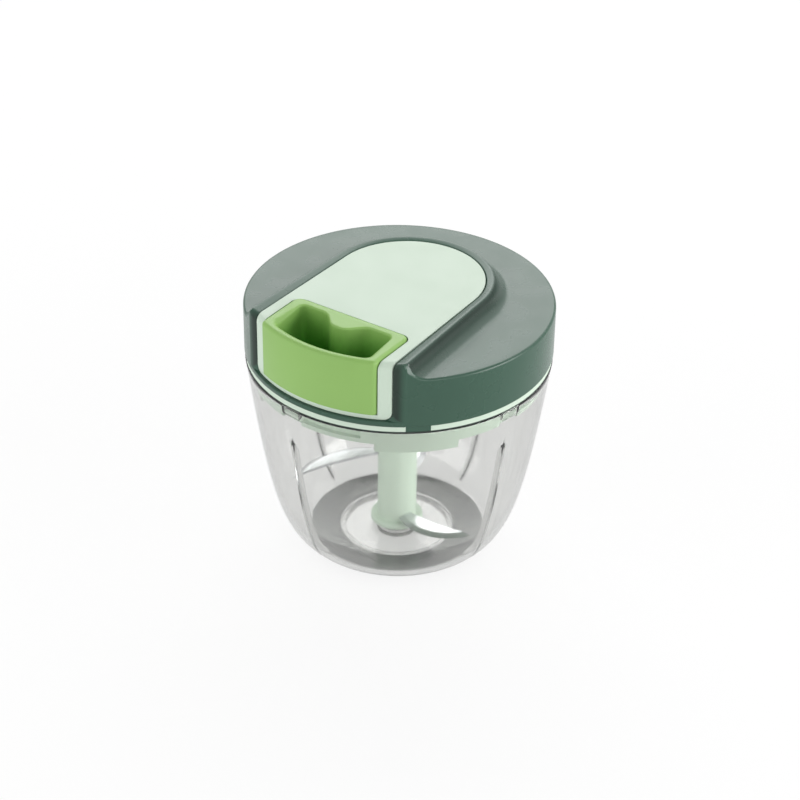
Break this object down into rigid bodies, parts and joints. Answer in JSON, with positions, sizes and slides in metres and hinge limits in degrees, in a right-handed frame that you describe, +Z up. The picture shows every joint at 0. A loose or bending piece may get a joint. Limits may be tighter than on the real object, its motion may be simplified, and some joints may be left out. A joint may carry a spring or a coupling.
{
  "type": "manual pull cord food chopper",
  "caption": "Round clear beaker with a twist-on lid; pulling the lid's corded finger handle spins a stem of sickle blades to chop food, and a recoil spring winds the cord back.",
  "frame": {"origin": "on the beaker's axis, on the surface that the foot ring stands on", "axes": "+Z up along the blade axis, the pull handle faces -Y, +X to the right seen from the handle"},
  "size_m": [0.1252, 0.1252, 0.1217],
  "materials": {
    "smoke_clear": "clear moulded plastic with a light smoke tint",
    "fir_green": "satin moulded plastic",
    "mint": "satin moulded plastic",
    "grass_green": "satin moulded plastic",
    "foot_rubber": "soft moulded foot",
    "seal_rubber": "soft moulded seal",
    "blade_steel": "ground blade steel",
    "plain_steel": "turned or stamped steel",
    "spring_steel": "blued spring strip",
    "acetal": "natural bearing plastic",
    "reel_plastic": "grey moulded plastic",
    "cord": "braided cord"
  },
  "bodies": {
    "bowl": {"bowl": "smoke_clear", "foot_ring": "foot_rubber"},
    "pin": {"pivot_pin": "plain_steel"},
    "blades": {"blade_stem": "mint", "lower_blade": "blade_steel", "middle_blade": "blade_steel", "upper_blade": "blade_steel"},
    "seal": {"lid_seal": "seal_rubber"},
    "lid": {"lid_base": "mint", "lid_cover": "fir_green", "top_panel": "mint", "lid_screws": "plain_steel", "spindle_bush": "acetal", "thrust_washer": "plain_steel", "spring_plate": "plain_steel", "recoil_spring": "spring_steel", "spring_case": "mint", "case_screws": "plain_steel", "cord_eyelet": "acetal", "cord_lead": "cord"},
    "reel": {"drive_spindle": "acetal", "cord_reel": "reel_plastic", "cord_winding": "cord", "reel_clip": "spring_steel"},
    "handle": {"pull_handle": "grass_green", "handle_plug": "grass_green", "cord_nipple": "plain_steel", "cord_end": "cord"}
  },
  "joints": [
    {"name": "lid_lift", "type": "slide", "parent": "bowl", "child": "seal", "axis": [0, 0, 1], "range_m": [0, 0.12]},
    {"name": "lid_twist", "type": "hinge", "parent": "seal", "child": "lid", "pos_m": [0, 0, 0.0912], "axis": [0, 0, 1], "range_deg": [-25, 0]},
    {"name": "handle_pull", "type": "slide", "parent": "lid", "child": "handle", "axis": [0, -1, 0], "range_m": [0, 0.4], "stiffness_N_per_m": 8, "springref_m": -0.4, "deforming": ["cord_end"]},
    {"name": "reel_spin", "type": "hinge", "parent": "lid", "child": "reel", "pos_m": [0, 0, 0.1], "axis": [0, 0, 1], "range_deg": [-1430, 0], "deforming": ["recoil_spring", "cord_winding"]},
    {"name": "pin_turn", "type": "hinge", "parent": "bowl", "child": "pin", "pos_m": [0, 0, 0.01], "axis": [0, 0, 1], "range_deg": [-25, 0]},
    {"name": "blade_spin", "type": "hinge", "parent": "pin", "child": "blades", "pos_m": [0, 0, 0.01], "axis": [0, 0, 1], "range_deg": [-1430, 0]}
  ],
  "couplings": [
    {"joint": "reel_spin", "follows": "handle_pull", "rad_per_m": -62.305},
    {"joint": "blade_spin", "follows": "handle_pull", "rad_per_m": -62.305},
    {"joint": "pin_turn", "follows": "lid_twist", "ratio": 1}
  ]
}
